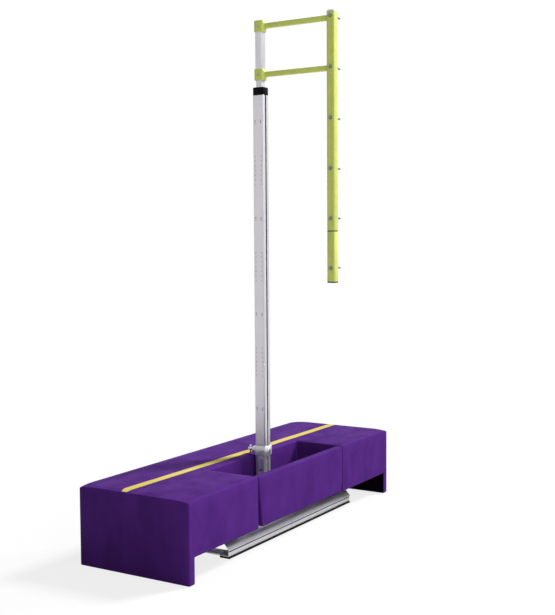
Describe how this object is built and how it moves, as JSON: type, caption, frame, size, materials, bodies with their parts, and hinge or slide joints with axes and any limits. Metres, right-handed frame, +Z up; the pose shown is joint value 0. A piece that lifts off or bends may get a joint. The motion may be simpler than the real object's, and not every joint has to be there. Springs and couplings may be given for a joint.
{
  "type": "pole vault standard",
  "caption": "Telescoping upright on a rolling carriage with a cantilevered peg bar that holds the crossbar, its base frame covered by a foam pad",
  "frame": {"origin": "bottom centre of the whole part's box, on the floor", "axes": "+X the way the arms reach, along the crossbar; +Y the way the vaulter runs, towards the landing mats; +Z up"},
  "size_m": [1.0045, 2.44, 3.25],
  "materials": {
    "mill_aluminium": "satin mill-finish extrusion",
    "cast_aluminium": "cast, lightly grained",
    "steel": "zinc plated",
    "black_steel": "black paint, satin",
    "green_paint": "lime powder coat, semi-gloss",
    "black_nylon": "moulded, matt",
    "nylon": "turned, matt",
    "rubber": "matt",
    "silver_plastic": "moulded, semi-gloss",
    "vinyl": "coated vinyl fabric, fine grain"
  },
  "bodies": {
    "base": {"rail_arm_side": "mill_aluminium", "rail_back_side": "mill_aluminium", "foot_strip_arm_side": "rubber", "foot_strip_back_side": "rubber", "top_strap_near": "mill_aluminium", "top_strap_far": "mill_aluminium", "low_strap_near": "mill_aluminium", "low_strap_middle": "mill_aluminium", "low_strap_far": "mill_aluminium"},
    "carriage": {"deck_plate": "mill_aluminium", "cheek_arm_side": "black_steel", "cheek_back_side": "black_steel", "axle_near_arm_side": "steel", "axle_far_arm_side": "steel", "axle_near_back_side": "steel", "axle_far_back_side": "steel", "foot_plate": "black_steel", "foot_spigot": "black_steel", "foot_gusset": "black_steel", "foot_bolt_1": "steel", "foot_bolt_2": "steel", "foot_bolt_3": "steel", "foot_bolt_4": "steel", "outer_tube": "mill_aluminium", "tube_cap": "black_nylon", "foot_screw": "black_steel", "stop_screw": "black_steel"},
    "near_arm_roller": {"roller_near_arm_side": "nylon"},
    "far_arm_roller": {"roller_far_arm_side": "nylon"},
    "near_back_roller": {"roller_near_back_side": "nylon"},
    "far_back_roller": {"roller_far_back_side": "nylon"},
    "mast": {"inner_mast": "mill_aluminium", "mast_sleeve": "mill_aluminium", "mast_guide": "black_nylon", "upper_collar": "green_paint", "lower_collar": "green_paint", "upper_collar_bolt": "steel", "lower_collar_bolt": "steel", "upper_arm": "green_paint", "lower_arm": "green_paint", "hanging_bar": "green_paint", "bar_extension": "green_paint", "bar_splice": "mill_aluminium", "bar_top_plug": "silver_plastic", "bar_end_cap": "black_nylon", "crossbar_peg_1": "steel", "crossbar_peg_2": "steel", "crossbar_peg_3": "steel", "crossbar_peg_4": "steel", "crossbar_peg_5": "steel", "crossbar_peg_6": "steel", "slider_collar": "cast_aluminium", "drive_key": "steel", "key_bolt": "steel"},
    "clamp": {"clamp_screw": "steel", "clamp_handle": "cast_aluminium"},
    "pad": {"pad_body": "vinyl"},
    "flap": {"pad_flap": "vinyl"}
  },
  "joints": [
    {"name": "carriage_slide", "type": "slide", "parent": "base", "child": "carriage", "axis": [0, 1, 0], "range_m": [-0.4, 0.4]},
    {"name": "near_arm_spin", "type": "hinge", "parent": "carriage", "child": "near_arm_roller", "pos_m": [0.10655, -0.2, 0.0403], "axis": [1, 0, 0], "range_deg": [-956, 956]},
    {"name": "far_arm_spin", "type": "hinge", "parent": "carriage", "child": "far_arm_roller", "pos_m": [0.10655, 0.2, 0.0403], "axis": [1, 0, 0], "range_deg": [-956, 956]},
    {"name": "near_back_spin", "type": "hinge", "parent": "carriage", "child": "near_back_roller", "pos_m": [-0.33705, -0.2, 0.0403], "axis": [1, 0, 0], "range_deg": [-956, 956]},
    {"name": "far_back_spin", "type": "hinge", "parent": "carriage", "child": "far_back_roller", "pos_m": [-0.33705, 0.2, 0.0403], "axis": [1, 0, 0], "range_deg": [-956, 956]},
    {"name": "mast_slide", "type": "slide", "parent": "carriage", "child": "mast", "axis": [0, 0, 1], "range_m": [0, 2.1]},
    {"name": "clamp_turn", "type": "hinge", "parent": "mast", "child": "clamp", "pos_m": [-0.11405, 0, 0.4995], "axis": [1, 0, 0], "range_deg": [0, 540]},
    {"name": "pad_pull", "type": "slide", "parent": "base", "child": "pad", "axis": [-1, 0, 0], "range_m": [0, 0.85]},
    {"name": "flap_hinge", "type": "hinge", "parent": "pad", "child": "flap", "pos_m": [0.26375, 0.53, 0.3085], "axis": [0, 0, 1], "range_deg": [0, 160]}
  ],
  "couplings": [
    {"joint": "near_arm_spin", "follows": "carriage_slide", "rad_per_m": -41.667},
    {"joint": "far_arm_spin", "follows": "carriage_slide", "rad_per_m": -41.667},
    {"joint": "near_back_spin", "follows": "carriage_slide", "rad_per_m": -41.667},
    {"joint": "far_back_spin", "follows": "carriage_slide", "rad_per_m": -41.667},
    {"joint": "flap_hinge", "follows": "pad_pull", "rad_per_m": 3.2}
  ]
}
